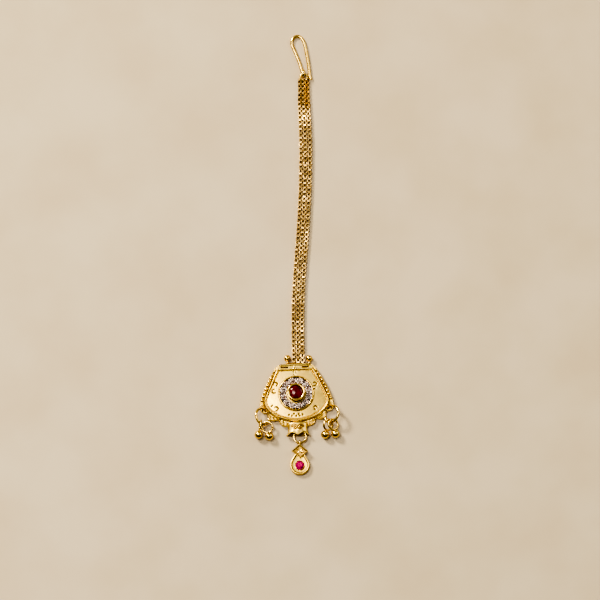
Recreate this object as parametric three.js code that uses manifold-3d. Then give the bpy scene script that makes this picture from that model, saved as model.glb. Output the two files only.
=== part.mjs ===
// Maang tikka: a forehead jewel of gold-plated brass, lying face up on a flat surface.
// Three box-link chain strands run along +Y from a stamped fan-shaped plate to a wire hair hook.
// The plate carries a round halo of twelve clear stones about a domed red stone in a high bezel.
// Two jump rings at its lower corners carry a pair of ball drops each, and a third carries a pear drop.
// Millimetres, +Z up and out of the jewel's face, +X to the wearer's left as the jewel is looked at.
// Everything is built about the centre of the halo, on the surface, and centred at the end.
import * as THREE from "three";
import { mergeVertices } from "three/addons/utils/BufferGeometryUtils.js";
import Module from "manifold-3d";

// ---- driving dimensions -------------------------------------------------------------------------

const GAP = 0.08; // between pieces that sit on each other

const PLATE = {
  x: -0.25, // where the turned plate sits
  turn: 2.5, // degrees; the plate hangs a little askew on its chain
  rimTop: 1.15, // the stamped border
  panelTop: 1.5, // the satin field inside the frame
  frameTop: 1.85, // the raised frame about the field
  frameWidth: 0.6,
  collarTop: 1.9, // the band across the top
  topY: 8.6,
  recess: 0.8, // depth of the hollow back
  recessInset: 0.7,
};
const SLOT = { x: 2.95, y: 7.42, length: 1.85, width: 0.36 }; // one at each side of the collar
const BEAD = { count: 9, radius: 0.46, z: 1.12 }; // soldered along each side of the border
const CORNER_LUG = { x: 9.12, y: -4.2, outer: 1.2, hole: 0.87, bottom: 1.0, top: 1.32 };
const CAP = { y: -8.7, topHalf: 2.7, bottomHalf: 3.25, bottomY: -12.2, crown: 2.2, roof: 1.5 };

// at the chain's foot, square to the chain and not to the plate
const CHAIN_NOTCH = { x: 0.33, halfWidth: 1.95, back: 7.1, top: 1.25 };
const CHAIN_BAR = { y: 7.6, z: 0.62, radius: 0.25 }; // soldered across the notch, holds the last links
const GRANULES = [-2.72, 3.34]; // a ball at each side of the chain
const GRANULE = { y: 10.0, radius: 0.94, stem: 0.4 };
const CAP_LUG = { x: 0.6, y: -10.6, z: 1.05, radius: 0.75, wire: 0.24 };

const HALO = { x: -0.26, y: -0.18, outer: 4.85, inner: 2.75, base: 1.58, floor: 1.95, top: 2.3, rim: 0.32 };
const HALO_STONE = { count: 12, orbit: 3.64, radius: 0.78, table: 0.45, crown: 0.36, seat: 0.25 };
const BEZEL = { outer: 2.48, inner: 1.93, base: 1.58, floor: 1.8, top: 4.05 };
const CENTRE_STONE = { radius: 1.82, girdle: 3.8, height: 0.55 };

// Each jump ring runs from its centre to the hole that it hangs in; roll is about that line.
const SIDE_RING = { radius: 2.35, wire: 0.3 };
const SIDE_RINGS = [
  { name: "side_ring_left", centre: [-9.6, -6.86, 1.89], hole: [-9.2, -4.66, 1.16], roll: -35.9 },
  { name: "side_ring_right", centre: [9.68, -6.05, 1.82], hole: [9.07, -3.88, 1.16], roll: 34.3 },
];
const BALL = { radius: 1.2, loopRadius: 1.5, loopWire: 0.23, neck: 0.3 };
const BALL_DROPS = [
  { name: "ball_drop_left_outer", ball: [-10.72, -11.85], loop: [-10.3, -9.54, 2.42], roll: -83.9 },
  { name: "ball_drop_left_inner", ball: [-7.78, -12.27], loop: [-8.35, -9.74, 1.51], roll: -10.1 },
  { name: "ball_drop_right_inner", ball: [7.86, -11.81], loop: [8.68, -9.1, 1.44], roll: 43.6 },
  { name: "ball_drop_right_outer", ball: [10.72, -11.6], loop: [10.11, -9.0, 1.67], roll: 29.8 },
];

const DROP_RING = { x: 0.82, y: -12.38, z: 1.0, radius: 1.72, wire: 0.3 };
const DROP = { x: 0.77, roundY: -20.45, round: 2.75, apexY: -14.9, back: 0.8, rim: 1.15, rimWidth: 0.42 };
const PLAQUE = { y: -16.55, halfWidth: 2.3, halfHeight: 2.0, base: 0.8, field: 1.6, frame: 1.85, rim: 0.4 };
const BAIL = { y: -14.24, z: 1.0, radius: 0.7, wire: 0.24 };
const DROP_STONE = { y: -20.6, radius: 1.25, seatDepth: 0.35, table: 0.7, crown: 0.5 };

const STRAND = { width: 1.08, sides: 8, steps: 32, restZ: 0.58 };
// the middle strand's route, from the end ring to the plate: its x and y, the spacing between strands,
// and how far the middle strand rides above the other two
const ROUTE = [
  { x: 1.85, y: 88.85, spacing: 0.98, lift: 0.74 },
  { x: 1.88, y: 86.5, spacing: 1.0, lift: 0.72 },
  { x: 1.95, y: 83.5, spacing: 1.1, lift: 0.6 },
  { x: 2.05, y: 80.0, spacing: 1.19, lift: 0.35 },
  { x: 2.2, y: 76.0, spacing: 1.23, lift: 0.12 },
  { x: 2.35, y: 71.5, spacing: 1.25, lift: 0 },
  { x: 2.32, y: 65.5, spacing: 1.25, lift: 0 },
  { x: 2.2, y: 59.5, spacing: 1.25, lift: 0 },
  { x: 2.0, y: 54.5, spacing: 1.24, lift: 0 },
  { x: 1.72, y: 49.0, spacing: 1.24, lift: 0 },
  { x: 1.38, y: 44.0, spacing: 1.24, lift: 0 },
  { x: 1.0, y: 39.0, spacing: 1.24, lift: 0 },
  { x: 0.62, y: 33.5, spacing: 1.24, lift: 0 },
  { x: 0.3, y: 28.0, spacing: 1.24, lift: 0 },
  { x: 0.18, y: 22.5, spacing: 1.24, lift: 0 },
  { x: 0.2, y: 17.0, spacing: 1.23, lift: 0 },
  { x: 0.26, y: 12.5, spacing: 1.23, lift: 0 },
  { x: 0.33, y: 8.05, spacing: 1.23, lift: 0 },
];

const END_RING = { x: 1.85, y: 90.5, z: 1.14, radius: 1.0, wire: 0.24, pitch: 10 };
const HOOK = { wire: 0.42, restZ: 0.46, sides: 8, steps: 60 };
const HOOK_EYE = { x: 1.75, y: 91.5, z: 1.34, radius: 0.88 };
// the bent wire as it lies: from the free tip, up one leg, round the bow and down to the eye
const HOOK_LEGS = [
  [3.85, 90.1],
  [3.5, 91.3],
  [3.36, 92.7],
  [3.12, 94.6],
  [2.78, 96.8],
  [2.36, 99.0],
  [1.9, 100.75],
  [1.15, 102.05],
  [0.2, 102.5],
  [-0.75, 102.2],
  [-1.42, 101.25],
  [-1.46, 100.1],
  [-1.0, 98.9],
  [-0.4, 97.5],
  [0.25, 95.9],
  [0.85, 94.2],
];

// ---- materials ----------------------------------------------------------------------------------

const material = (color, roughness, metalness) =>
  new THREE.MeshStandardMaterial({ color, roughness, metalness });
const SATIN_GOLD = material(0xd9b765, 0.38, 1);
const POLISHED_GOLD = material(0xe3bd62, 0.16, 1);
const CHAIN_GOLD = material(0xd8ab57, 0.22, 1);
const RUBY_RED = material(0x7c1226, 0.08, 0);
const PINK_STONE = material(0xc2186c, 0.05, 0);
const CLEAR_STONE = material(0xf2f0f2, 0.04, 0);

// ---- solids -------------------------------------------------------------------------------------

const wasm = await Module();
wasm.setup();

const WELD = 1e-3;

function solidOf(geometry) {
  const bare = geometry.index ? geometry.toNonIndexed() : geometry.clone();
  bare.deleteAttribute("normal");
  bare.deleteAttribute("uv");
  const merged = mergeVertices(bare, WELD);
  return new wasm.Manifold(
    new wasm.Mesh({
      numProp: 3,
      vertProperties: merged.attributes.position.array,
      triVerts: new Uint32Array(merged.index.array),
    }),
  );
}

function geometryOf(solid) {
  const { numProp, numVert, vertProperties, triVerts } = solid.getMesh();
  const position = new Float32Array(numVert * 3);
  for (let i = 0; i < numVert; i++) {
    position.set(vertProperties.subarray(i * numProp, i * numProp + 3), i * 3);
  }
  const geometry = new THREE.BufferGeometry();
  geometry.setAttribute("position", new THREE.BufferAttribute(position, 3));
  geometry.setIndex(new THREE.BufferAttribute(triVerts, 1));
  geometry.computeVertexNormals();
  return geometry;
}

const join = (geometries) => geometries.map(solidOf).reduce((sum, next) => sum.add(next));

const cut = (solid, geometries) =>
  geometries.map(solidOf).reduce((rest, tool) => rest.subtract(tool), solid);

// A flat shape raised between two heights.
function slab(shape, bottom, top, curveSegments = 6) {
  const geometry = new THREE.ExtrudeGeometry(shape, {
    depth: top - bottom,
    bevelEnabled: false,
    curveSegments,
  });
  return geometry.translate(0, 0, bottom);
}

// A shape with its upper and lower edges chamfered by the given width.
function chamferedSlab(shape, bottom, top, chamfer, curveSegments = 6) {
  const geometry = new THREE.ExtrudeGeometry(shape, {
    depth: top - bottom - 2 * chamfer,
    bevelThickness: chamfer,
    bevelSize: chamfer,
    bevelOffset: -chamfer,
    bevelSegments: 1,
    curveSegments,
  });
  return geometry.translate(0, 0, bottom + chamfer);
}

// A turned form: the profile is [radius, height] pairs from the bottom up, about the Z axis.
function turned(profile, segments) {
  const points = profile.map(([radius, height]) => new THREE.Vector2(radius, height));
  return new THREE.LatheGeometry(points, segments).rotateX(Math.PI / 2);
}

function cylinder(radius, bottom, top, segments) {
  return new THREE.CylinderGeometry(radius, radius, top - bottom, segments)
    .rotateX(Math.PI / 2)
    .translate(0, 0, (bottom + top) / 2);
}

const ball = (radius, around = 11, up = 8) =>
  new THREE.SphereGeometry(radius, around, up).rotateX(Math.PI / 2);

const roundWire = (radius, wire, around = 20, section = 6) =>
  new THREE.TorusGeometry(radius, wire, section, around);

const radians = THREE.MathUtils.degToRad;

// ---- the plate's outlines -----------------------------------------------------------------------

// A closed outline from its right half: the half is drawn mirrored down the left, then back up the
// right. Each step of the half is a line [x, y], or a curve [controlX, controlY, x, y].
function mirroredShape(startY, half) {
  const shape = new THREE.Shape();
  shape.moveTo(0, startY);
  const ends = [[0, startY]];
  for (const step of half) {
    const [x, y] = step.slice(-2);
    if (step.length === 2) shape.lineTo(-x, y);
    else shape.quadraticCurveTo(-step[0], step[1], -x, y);
    ends.push([x, y]);
  }
  for (let i = half.length - 1; i >= 0; i--) {
    if (half[i].length === 2) shape.lineTo(...ends[i]);
    else shape.quadraticCurveTo(half[i][0], half[i][1], ...ends[i]);
  }
  return shape;
}

// The border: flat top, beaded flanks, the corner lugs' shoulders and two scallops to the cap.
function borderShape() {
  return mirroredShape(PLATE.topY + 0.05, [
    [3.5, PLATE.topY - 0.1],
    [5.6, 8.2, 6.55, 6.3],
    [9.1, 2.3, 10.3, -1.9],
    [10.6, -3.2, 10.15, -4.4],
    [8.9, -5.2, 8.1, -5.2],
    [8.1, -6.4],
    [7.9, -7.55, 6.6, -7.65],
    [5.15, -7.45],
    [4.95, -9.2, 3.4, -9.3],
    [2.4, -9.6],
    [0, -9.8],
  ]);
}

// The satin field, or a shape grown outwards from it by the given width.
function fieldShape(grow = 0) {
  return mirroredShape(6.62 + grow, [
    [4.55 + 0.8 * grow, 6.5 + grow],
    [8.3 + 1.05 * grow, -1.2],
    [8.9 + 1.1 * grow, -2.9, 7.4 + 0.8 * grow, -4.4 - 0.7 * grow],
    [4.6 + 0.5 * grow, -7.2 - grow, 0, -7.55 - grow],
  ]);
}

// The half bell at the foot, with a wavy lip, or the same shrunk for its hollow underside.
function capShape(inset = 0) {
  const { y, topHalf, bottomHalf, bottomY } = CAP;
  const lip = inset ? -1 : 0.45;
  return mirroredShape(y - 3 * inset + 0.3, [
    [topHalf - inset, y - 3 * inset],
    [topHalf - inset, y - 1.8, bottomHalf - inset, bottomY],
    [bottomHalf * 0.7, bottomY + 0.1, bottomHalf * 0.45, bottomY + lip + 0.05],
    [0.6, bottomY + lip - 0.3, 0, bottomY + lip],
  ]);
}

// The pad that carries a corner lug, clear of the surface; side is 1 or -1.
function cornerPad(side) {
  const outline = [
    [6.9, -5.2],
    [8.1, -5.25],
    [9.1, -5.15],
    [10.15, -4.3],
    [10.35, -2.6],
    [9.6, -0.8],
    [7.2, -3.4],
  ];
  const shape = new THREE.Shape();
  outline.forEach(([x, y], i) => (i ? shape.lineTo(side * x, y) : shape.moveTo(side * x, y)));
  shape.closePath();
  return slab(shape, CORNER_LUG.bottom - 0.1, CORNER_LUG.top);
}

// The row of beads down one flank; side is 1 or -1.
function beadRow(side) {
  const line = new THREE.QuadraticBezierCurve(
    new THREE.Vector2(5.75, 6.4),
    new THREE.Vector2(8.26, 2.34),
    new THREE.Vector2(9.55, -1.7),
  );
  return line
    .getSpacedPoints(BEAD.count - 1)
    .map((p) => ball(BEAD.radius, 7, 5).translate(side * p.x, p.y, BEAD.z));
}

const SIDES = [-1, 1];

// Stamped sheet with its frame, collar, beads, lugs and cap, square to its own axis.
function sheetSolid() {
  const frame = fieldShape(PLATE.frameWidth);
  frame.holes.push(fieldShape());
  const collar = mirroredShape(PLATE.topY - 0.1, [
    [3.4, PLATE.topY - 0.22],
    [4.4, 8.1, 5.3, 6.9],
    [4.8, 6.6],
    [0, 6.55],
  ]);
  const lugs = SIDES.map((side) =>
    cylinder(CORNER_LUG.outer, CORNER_LUG.bottom - 0.1, CORNER_LUG.top, 16).translate(
      side * CORNER_LUG.x,
      CORNER_LUG.y,
      0,
    ),
  );
  const body = join([
    slab(borderShape(), 0, PLATE.rimTop),
    chamferedSlab(fieldShape(PLATE.frameWidth / 2), 0, PLATE.panelTop, 0.1),
    slab(frame, 0, PLATE.frameTop, 5),
    chamferedSlab(collar, 0, PLATE.collarTop, 0.15),
    chamferedSlab(capShape(), 0.25, CAP.crown, 0.3, 4),
    ...lugs,
    ...SIDES.map(cornerPad),
    ...SIDES.flatMap(beadRow),
  ]);
  const slots = SIDES.map((side) =>
    new THREE.BoxGeometry(SLOT.length, SLOT.width, 1).translate(side * SLOT.x, SLOT.y, PLATE.collarTop),
  );
  const lugHoles = SIDES.map((side) =>
    cylinder(CORNER_LUG.hole, -1, 3, 12).translate(side * CORNER_LUG.x, CORNER_LUG.y, 0),
  );
  // room under the thin sheet for the jump ring that hangs in each lug
  const undercuts = SIDES.flatMap((side) => [
    cylinder(1.85, -1, CORNER_LUG.bottom, 16).translate(side * CORNER_LUG.x, CORNER_LUG.y - 0.4, 0),
    cylinder(1.5, -1, PLATE.rimTop - 0.25, 16).translate(side * 8.2, -6.5, 0),
  ]);
  const hollows = [
    slab(fieldShape(-PLATE.recessInset), -1, PLATE.recess),
    slab(capShape(0.4), -1, CAP.roof, 4),
  ];
  return cut(body, [...slots, ...lugHoles, ...undercuts, ...hollows]);
}

// The sheet turned askew, with the parts that stand square to the chain and to the drop.
function plateSolid() {
  const sheet = geometryOf(sheetSolid())
    .rotateZ(radians(PLATE.turn))
    .translate(PLATE.x, 0, 0);
  const granules = GRANULES.flatMap((x) => [
    ball(GRANULE.radius).translate(x, GRANULE.y, GRANULE.radius),
    new THREE.CylinderGeometry(GRANULE.stem, GRANULE.stem, 1.8, 8).translate(x, GRANULE.y - 1, 0.6),
  ]);
  const capLug = roundWire(CAP_LUG.radius, CAP_LUG.wire, 16)
    .rotateY(Math.PI / 2)
    .translate(CAP_LUG.x, CAP_LUG.y, CAP_LUG.z);
  const { x, halfWidth, back, top } = CHAIN_NOTCH;
  const notch = new THREE.BoxGeometry(halfWidth * 2, 4, 2).translate(x, back + 2, top - 1);
  const bar = new THREE.CylinderGeometry(CHAIN_BAR.radius, CHAIN_BAR.radius, halfWidth * 2 + 0.4, 8)
    .rotateZ(Math.PI / 2)
    .translate(x, CHAIN_BAR.y, CHAIN_BAR.z);
  return cut(join([sheet]), [notch]).add(join([bar, capLug, ...granules]));
}

// ---- settings and stones ------------------------------------------------------------------------

// Stone seats repeat about the halo's centre; each gets its angle.
const seatAngles = Array.from(
  { length: HALO_STONE.count },
  (_, i) => ((i + 0.5) / HALO_STONE.count) * 2 * Math.PI,
);

// A round tray whose floor has a blind seat for each stone.
function haloSolid() {
  const { inner, outer, base, floor, top, rim } = HALO;
  const tray = turned(
    [
      [inner, base],
      [outer, base],
      [outer, top - 0.1],
      [outer - 0.1, top],
      [outer - rim, top],
      [outer - rim, floor],
      [inner, floor],
      [inner, base],
    ],
    36,
  );
  const seats = seatAngles.map((angle) =>
    cylinder(HALO_STONE.radius + GAP, floor - HALO_STONE.seat, floor + 1, 10).translate(
      HALO_STONE.orbit * Math.cos(angle),
      HALO_STONE.orbit * Math.sin(angle),
      0,
    ),
  );
  return cut(solidOf(tray), seats);
}

// A round cut stone: culet down, flat table up. Heights are measured from the girdle's lower edge.
function cutStone({ radius, table, crown }, depth, segments) {
  const girdle = 0.08;
  return turned(
    [
      [0, -depth],
      [radius * 0.55, -depth],
      [radius, 0],
      [radius, girdle],
      [radius * table, girdle + crown],
      [0, girdle + crown],
    ],
    segments,
  );
}

function bezelGeometry() {
  const { outer, inner, base, floor, top } = BEZEL;
  return turned(
    [
      [0, base],
      [outer, base],
      [outer, top - 0.12],
      [outer - 0.12, top],
      [inner + 0.12, top],
      [inner, top - 0.12],
      [inner, floor],
      [0, floor],
    ],
    28,
  );
}

function centreStoneGeometry() {
  const { radius, girdle, height } = CENTRE_STONE;
  const dome = [0, 0.35, 0.65, 0.88].map((t) => {
    const angle = (t * Math.PI) / 2;
    return [radius * Math.cos(angle), girdle + height * Math.sin(angle)];
  });
  return turned(
    [[0, BEZEL.floor + GAP], [radius, BEZEL.floor + GAP], ...dome, [0, girdle + height]],
    24,
  );
}

// ---- drops and rings ----------------------------------------------------------------------------

// A ring of wire whose plane holds the line from its centre to another point, rolled about that line.
function hungRing(centre, towards, roll, radius, wire, around) {
  const middle = new THREE.Vector3(...centre);
  const along = new THREE.Vector3(...towards).sub(middle).normalize();
  const sideways = along.clone().cross(new THREE.Vector3(0, 0, 1)).normalize();
  const normal = sideways.clone().cross(along).applyAxisAngle(along, radians(-roll));
  const across = normal.clone().cross(along);
  const turn = new THREE.Matrix4().makeBasis(along, across, normal).setPosition(middle);
  return roundWire(radius, wire, around).applyMatrix4(turn);
}

// A ball with its loop: a short neck joins them, and the loop hangs in a jump ring.
function ballDrop({ ball: [x, y], loop, roll }) {
  const middle = new THREE.Vector3(x, y, BALL.radius);
  const reach = new THREE.Vector3(...loop).sub(middle);
  const neck = new THREE.CylinderGeometry(BALL.neck, BALL.neck, reach.length() - BALL.loopRadius, 8)
    .translate(0, (reach.length() - BALL.loopRadius) / 2, 0)
    .applyQuaternion(
      new THREE.Quaternion().setFromUnitVectors(new THREE.Vector3(0, 1, 0), reach.clone().normalize()),
    )
    .translate(...middle);
  return join([
    ball(BALL.radius).translate(...middle),
    neck,
    hungRing(loop, middle.toArray(), roll, BALL.loopRadius, BALL.loopWire, 18),
  ]);
}

function dropRing() {
  const { x, y, z, radius, wire } = DROP_RING;
  return roundWire(radius, wire, 24).translate(x, y, z);
}

// A pear: straight flanks from the apex, tangent to the round foot.
function pearShape(inset = 0) {
  const round = DROP.round - inset;
  const reach = DROP.apexY - DROP.roundY - inset * 1.6;
  const tangent = Math.asin(round / reach);
  const shape = new THREE.Shape();
  shape.moveTo(0, reach);
  shape.lineTo(-round * Math.cos(tangent), round * Math.sin(tangent));
  shape.absarc(0, 0, round, Math.PI - tangent, 2 * Math.PI + tangent, false);
  shape.closePath();
  return shape;
}

function rhombusShape(inset = 0) {
  const halfWidth = PLAQUE.halfWidth - inset * 1.3;
  const halfHeight = PLAQUE.halfHeight - inset * 1.3;
  const shape = new THREE.Shape();
  shape.moveTo(0, halfHeight);
  shape.lineTo(-halfWidth, 0);
  shape.lineTo(0, -halfHeight);
  shape.lineTo(halfWidth, 0);
  shape.closePath();
  return shape;
}

// Pear tray, framed rhombus plaque and bail, soldered into one, with a seat for the stone.
function dropSolid() {
  const rim = pearShape();
  rim.holes.push(pearShape(DROP.rimWidth));
  const frame = rhombusShape();
  frame.holes.push(rhombusShape(PLAQUE.rim));
  const bail = roundWire(BAIL.radius, BAIL.wire, 16)
    .rotateY(Math.PI / 2)
    .translate(DROP.x, BAIL.y, BAIL.z);
  const body = join([
    slab(pearShape(), 0, DROP.back).translate(DROP.x, DROP.roundY, 0),
    slab(rim, 0, DROP.rim).translate(DROP.x, DROP.roundY, 0),
    slab(rhombusShape(), PLAQUE.base - 0.1, PLAQUE.field).translate(DROP.x, PLAQUE.y, 0),
    slab(frame, PLAQUE.field - 0.1, PLAQUE.frame).translate(DROP.x, PLAQUE.y, 0),
    bail,
  ]);
  const seat = cylinder(DROP_STONE.radius + GAP, DROP.back - DROP_STONE.seatDepth, 2, 16);
  return cut(body, [seat.translate(DROP.x, DROP_STONE.y, 0)]);
}

// ---- chain and hook -----------------------------------------------------------------------------

const disc = (radius, sides) => {
  const corner = radius / Math.cos(Math.PI / sides);
  const shape = new THREE.Shape();
  for (let i = 0; i < sides; i++) {
    const angle = ((i + 0.5) / sides) * 2 * Math.PI;
    const point = [corner * Math.cos(angle), corner * Math.sin(angle)];
    if (i) shape.lineTo(...point);
    else shape.moveTo(...point);
  }
  shape.closePath();
  return shape;
};

function tubeAlong(points, radius, sides, steps) {
  const path = new THREE.CatmullRomCurve3(points, false, "centripetal");
  return new THREE.ExtrudeGeometry(disc(radius, sides), { steps, extrudePath: path });
}

// One strand: -1 and 1 lie beside the middle one, 0, which may ride above them.
function strand(side) {
  const points = ROUTE.map(
    ({ x, y, spacing, lift }) =>
      new THREE.Vector3(x + side * spacing, y + 0.35 * Math.abs(side), STRAND.restZ + (side ? 0 : lift)),
  );
  return tubeAlong(points, STRAND.width / 2, STRAND.sides, STRAND.steps);
}

function endRing() {
  return roundWire(END_RING.radius, END_RING.wire, 18)
    .rotateX(radians(END_RING.pitch))
    .translate(END_RING.x, END_RING.y, END_RING.z);
}

// The hook's wire lies on the surface, then turns up into an upright eye about the end ring.
function hookGeometry() {
  const legs = HOOK_LEGS.map(([x, y]) => new THREE.Vector3(x, y, HOOK.restZ));
  const eye = [];
  for (let degrees = 0; degrees <= 290; degrees += 29) {
    const turn = radians(degrees);
    eye.push(
      new THREE.Vector3(
        HOOK_EYE.x - 0.25 * Math.cos(turn / 2) * (turn < Math.PI ? 1 : 0),
        HOOK_EYE.y + 0.25 * Math.max(0, 1 - turn) - HOOK_EYE.radius * Math.sin(turn),
        HOOK_EYE.z - HOOK_EYE.radius * Math.cos(turn),
      ),
    );
  }
  return tubeAlong([...legs, ...eye], HOOK.wire, HOOK.sides, HOOK.steps);
}

// ---- assembly -----------------------------------------------------------------------------------

const tikka = new THREE.Group();

function add(name, geometry, finish) {
  const mesh = new THREE.Mesh(geometry, finish);
  mesh.name = name;
  tikka.add(mesh);
  return mesh;
}

const twoDigits = (n) => String(n).padStart(2, "0");

add("hair_hook", hookGeometry(), POLISHED_GOLD);
add("end_ring", endRing(), POLISHED_GOLD);
add("chain_left", strand(-1), CHAIN_GOLD);
add("chain_middle", strand(0), CHAIN_GOLD);
add("chain_right", strand(1), CHAIN_GOLD);

add("plate", geometryOf(plateSolid()), SATIN_GOLD);
add("halo_setting", geometryOf(haloSolid()), POLISHED_GOLD).position.set(HALO.x, HALO.y, 0);
add("centre_bezel", bezelGeometry(), POLISHED_GOLD).position.set(HALO.x, HALO.y, 0);
add("centre_stone", centreStoneGeometry(), RUBY_RED).position.set(HALO.x, HALO.y, 0);
seatAngles.forEach((angle, i) => {
  const stone = add(
    "halo_stone_" + twoDigits(i + 1),
    cutStone({ radius: HALO_STONE.radius, table: HALO_STONE.table, crown: HALO_STONE.crown }, 0.16, 10),
    CLEAR_STONE,
  );
  stone.position.set(
    HALO.x + HALO_STONE.orbit * Math.cos(angle),
    HALO.y + HALO_STONE.orbit * Math.sin(angle),
    HALO.floor,
  );
});

for (const { name, centre, hole, roll } of SIDE_RINGS) {
  add(name, hungRing(centre, hole, roll, SIDE_RING.radius, SIDE_RING.wire, 24), POLISHED_GOLD);
}
for (const row of BALL_DROPS) add(row.name, geometryOf(ballDrop(row)), POLISHED_GOLD);

add("drop_ring", dropRing(), POLISHED_GOLD);
add("drop", geometryOf(dropSolid()), SATIN_GOLD);
const dropStone = add("drop_stone", cutStone(DROP_STONE, 0.25, 16), PINK_STONE);
dropStone.position.set(DROP.x, DROP_STONE.y, DROP.back);

// The frame's origin is under the middle of the whole jewel, on the surface that it lies on.
const box = new THREE.Box3().setFromObject(tikka);
const middle = box.getCenter(new THREE.Vector3());
tikka.position.set(-middle.x, -middle.y, -box.min.z);

export default tikka;
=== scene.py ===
"""A maang tikka, a forehead jewel in gold-plated brass, laid face up on a pale board.

Three box-chain strands run from a bent wire hair hook to a stamped fan-shaped plate. The plate
carries a halo of clear stones about a domed red stone, ball drops at its lower corners and a pear
drop under its bell cap. Every shape below is worked out in millimetres about the middle of the
halo, as grids of points, and goes into its mesh in metres at the frame's own place.
"""
import math

import bmesh
import bpy
import numpy as np
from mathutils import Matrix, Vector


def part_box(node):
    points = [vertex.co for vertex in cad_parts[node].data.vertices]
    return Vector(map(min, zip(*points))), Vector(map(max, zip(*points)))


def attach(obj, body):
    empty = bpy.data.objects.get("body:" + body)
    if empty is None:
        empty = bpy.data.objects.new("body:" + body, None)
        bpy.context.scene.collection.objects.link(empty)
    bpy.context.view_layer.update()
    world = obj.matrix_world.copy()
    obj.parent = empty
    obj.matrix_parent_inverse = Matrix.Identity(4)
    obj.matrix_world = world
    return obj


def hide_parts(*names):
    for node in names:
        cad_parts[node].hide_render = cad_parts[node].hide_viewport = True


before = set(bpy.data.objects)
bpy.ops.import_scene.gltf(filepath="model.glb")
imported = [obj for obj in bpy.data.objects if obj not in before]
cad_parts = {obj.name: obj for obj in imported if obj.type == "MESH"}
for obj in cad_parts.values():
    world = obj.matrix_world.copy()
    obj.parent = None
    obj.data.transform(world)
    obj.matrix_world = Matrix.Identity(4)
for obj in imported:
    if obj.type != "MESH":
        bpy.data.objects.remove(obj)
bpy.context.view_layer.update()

MM = 0.001
TURN = 2 * math.pi

# ---- the maker's sizes, in millimetres ----------------------------------------------------------

HALO_AT = np.array([-0.26, -0.18, 0.0])
low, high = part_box("halo_setting")
# from the middle of the halo to the frame's origin
SHIFT = np.array([(low[0] + high[0]) / 2, (low[1] + high[1]) / 2, 0.0]) / MM - HALO_AT

PLATE_AT = np.array([-0.25, 0.0, 0.0])
PLATE_TURN = math.radians(2.5)

# ---- camera -------------------------------------------------------------------------------------

CAMERA_ELEVATION = math.radians(78)
CAMERA_DISTANCE = 6.0
VIEW_WIDTH = 0.168
# the middle of the view, in the maker's millimetres
VIEW_MIDDLE = np.array([0.84, 26.9, 0.0])


def place_camera():
    """Looks along +Y from 78 degrees above the board, from far off, so the view is nearly flat."""
    lens = bpy.data.cameras.new("camera")
    lens.sensor_width = 36
    lens.lens = 36 * CAMERA_DISTANCE / VIEW_WIDTH
    lens.clip_start = 0.01
    lens.clip_end = 60
    camera = bpy.data.objects.new("camera", lens)
    bpy.context.scene.collection.objects.link(camera)
    middle = (VIEW_MIDDLE + SHIFT) * MM
    away = np.array([0, -math.cos(CAMERA_ELEVATION), math.sin(CAMERA_ELEVATION)])
    camera.location = middle + away * CAMERA_DISTANCE
    camera.rotation_euler = (math.pi / 2 - CAMERA_ELEVATION, 0, 0)
    bpy.context.scene.camera = camera


place_camera()

# ---- materials ----------------------------------------------------------------------------------


def linear(code):
    """An sRGB hex colour as linear red, green, blue and a full alpha."""
    parts = [int(code[i : i + 2], 16) / 255 for i in (1, 3, 5)]
    return [c / 12.92 if c <= 0.04045 else ((c + 0.055) / 1.055) ** 2.4 for c in parts] + [1.0]


def add(tree, kind, inputs=None, **settings):
    """Adds a node. Each input is a value, or another node's output socket to link from."""
    made = tree.nodes.new(kind)
    for key, value in settings.items():
        setattr(made, key, value)
    for key, value in (inputs or {}).items():
        if isinstance(value, bpy.types.NodeSocket):
            tree.links.new(value, made.inputs[key])
        else:
            made.inputs[key].default_value = value
    return made


def ramp_between(tree, factor, first, last, start=0.0, end=1.0):
    """A colour ramp from one hex colour to another."""
    made = add(tree, "ShaderNodeValToRGB", {"Fac": factor})
    made.color_ramp.elements[0].position = start
    made.color_ramp.elements[1].position = end
    made.color_ramp.elements[0].color = linear(first)
    made.color_ramp.elements[1].color = linear(last)
    return made.outputs["Color"]


def new_material(name):
    """A material with its node tree, its shader and the piece's own coordinates in metres."""
    made = bpy.data.materials.new(name)
    made.use_nodes = True
    tree = made.node_tree
    shader = tree.nodes["Principled BSDF"]
    where = add(tree, "ShaderNodeTexCoord").outputs["Object"]
    return made, tree, shader, where


# the brown of painted shade, laid in hollows, grooves, slots and under parts
PAINTED_SHADE_BROWN = "#6a4216"
PAINTED_SHADE_DULLING = 0.3


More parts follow.
